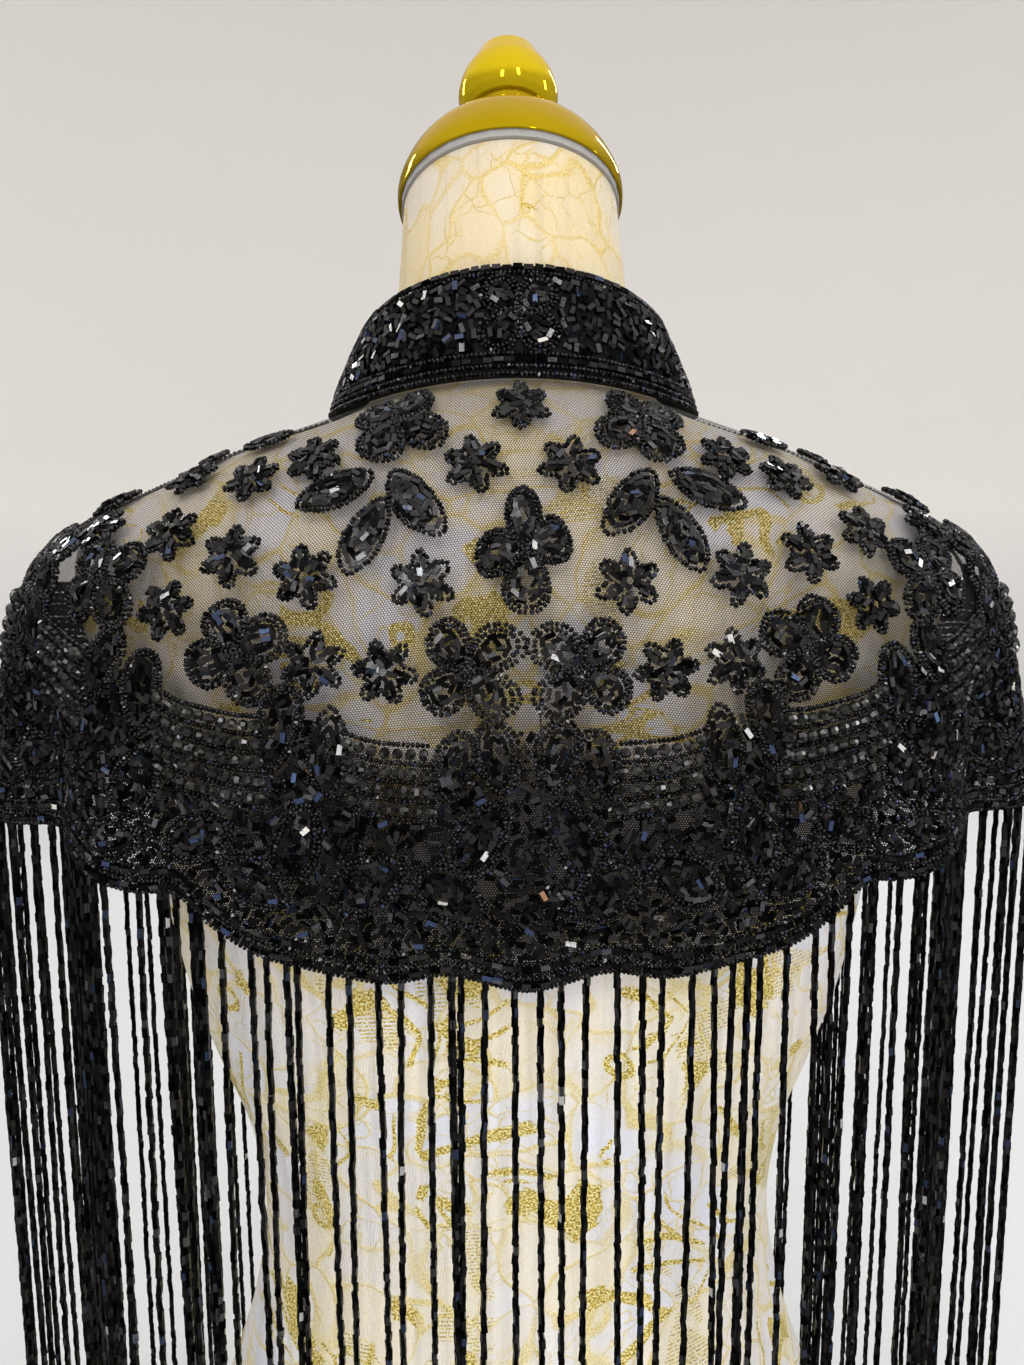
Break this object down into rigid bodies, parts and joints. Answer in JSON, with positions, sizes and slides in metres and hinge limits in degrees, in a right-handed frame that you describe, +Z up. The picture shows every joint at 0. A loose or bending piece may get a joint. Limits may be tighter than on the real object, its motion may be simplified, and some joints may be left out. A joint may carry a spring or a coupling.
{
  "type": "beaded fringe capelet on a dress form",
  "caption": "Short net shoulder capelet with a stand collar, beaded flower and star motifs, a dense scalloped bead border and long bead-strand fringe, on a lace-covered limbless dress form.",
  "frame": {"origin": "middle of the flat underside of the dress form", "axes": "+Z up the form, +Y out of the centre front, +X to the wearer's right-hand side as seen from behind"},
  "size_m": [0.5046, 0.2709, 0.835],
  "materials": {
    "form_cloth": "ivory lace with gold cord and gold leaf patches",
    "board": "matte grey card",
    "gold": "mirror polished gold",
    "net": "fine black net",
    "beads": "glossy jet glass beads on net",
    "strands": "glossy jet glass bead strands"
  },
  "bodies": {
    "root": {"dress_form": "form_cloth", "neck_board": "board", "neck_cap": "gold", "cap_knob": "gold", "net_back": "net", "net_front_right": "net", "net_front_left": "net", "collar": "beads", "border_back_right": "beads", "border_back_left": "beads", "border_side_back_right": "beads", "border_side_back_left": "beads", "border_shoulder_right": "beads", "border_shoulder_left": "beads", "border_side_front_right": "beads", "border_side_front_left": "beads", "border_front_right": "beads", "border_front_left": "beads", "fringe_back_right": "strands", "fringe_back_left": "strands", "fringe_side_back_right": "strands", "fringe_side_back_left": "strands", "fringe_shoulder_right": "strands", "fringe_shoulder_left": "strands", "fringe_side_front_right": "strands", "fringe_side_front_left": "strands", "fringe_front_right": "strands", "fringe_front_left": "strands"}
  },
  "joints": []
}
